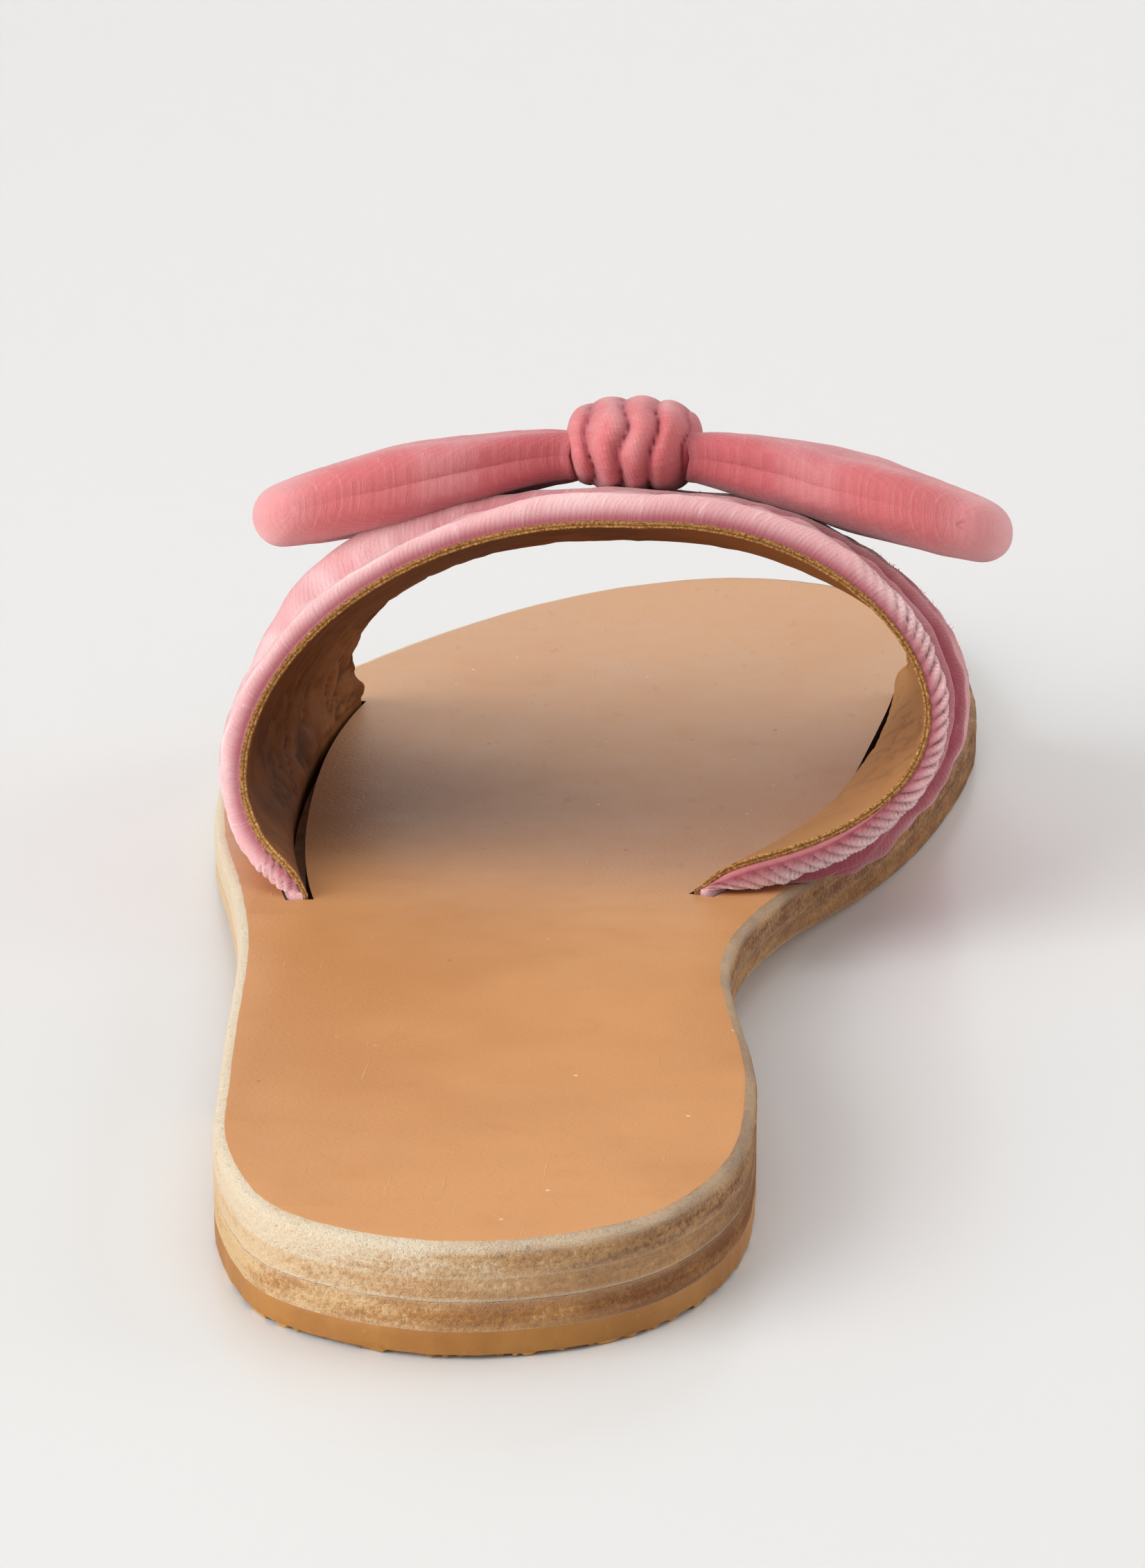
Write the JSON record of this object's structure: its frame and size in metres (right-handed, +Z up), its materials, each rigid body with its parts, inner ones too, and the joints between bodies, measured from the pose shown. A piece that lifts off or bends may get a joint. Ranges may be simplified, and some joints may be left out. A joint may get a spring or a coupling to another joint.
{
  "type": "flat slide sandal",
  "caption": "Flat leather slide sandal, left shoe, with a gathered velvet band and bow; it holds a bare foot under the band.",
  "frame": {"origin": "middle of the overall box, on the floor under the sole", "axes": "+Y along the shoe to the toe, +X to the inner (medial) side of the foot, +Z up"},
  "size_m": [0.094, 0.252, 0.0573],
  "materials": {
    "heel_top_piece": "crepe texture, amber",
    "heel_lift": "raw cut edge",
    "outsole": "pale smooth leather, worn at the ball",
    "insole": "smooth tan leather",
    "upper_band": "pink velvet over a leather lining",
    "bow": "pink velvet"
  },
  "bodies": {
    "root": {"heel_top_piece": "heel_top_piece", "heel_lift": "heel_lift", "outsole": "outsole", "insole": "insole", "upper_band": "upper_band", "bow_knot": "bow", "bow_loop_lateral": "bow", "bow_loop_medial": "bow"}
  },
  "joints": []
}
